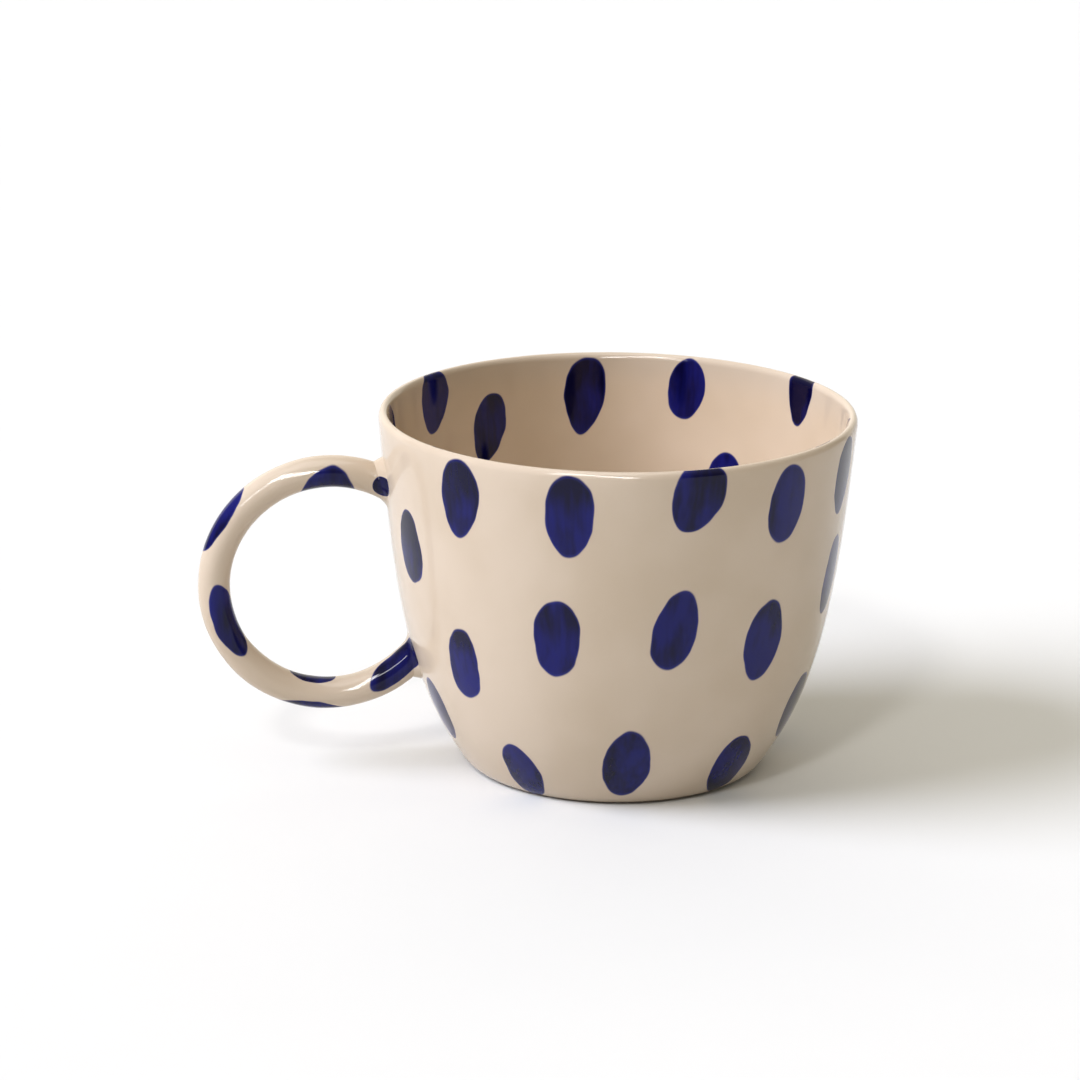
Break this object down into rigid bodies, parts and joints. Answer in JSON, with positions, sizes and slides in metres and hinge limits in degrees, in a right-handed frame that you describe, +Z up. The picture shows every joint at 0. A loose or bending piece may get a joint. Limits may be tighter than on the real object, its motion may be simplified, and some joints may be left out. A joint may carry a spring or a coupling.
{
  "type": "stoneware mug",
  "caption": "Round-bellied stoneware mug with a flared rim, a narrow flat foot and a full ring handle of round section, luted on at two points.",
  "frame": {"origin": "middle of the flat foot, on the cup's axis, in the plane that the mug stands on", "axes": "+Z up along the cup's axis, -X towards the handle, +Y across"},
  "size_m": [0.1449, 0.105, 0.0803],
  "materials": {
    "cup_glaze": "warm cream gloss glaze over cobalt brush dabs, bare clay on the foot",
    "handle_glaze": "warm cream gloss glaze over cobalt brush dabs",
    "slip_glaze": "warm cream gloss glaze over cobalt brush dabs"
  },
  "bodies": {
    "root": {"cup_body": "cup_glaze", "handle": "handle_glaze", "upper_slip_joint": "slip_glaze", "lower_slip_joint": "slip_glaze"}
  },
  "joints": []
}
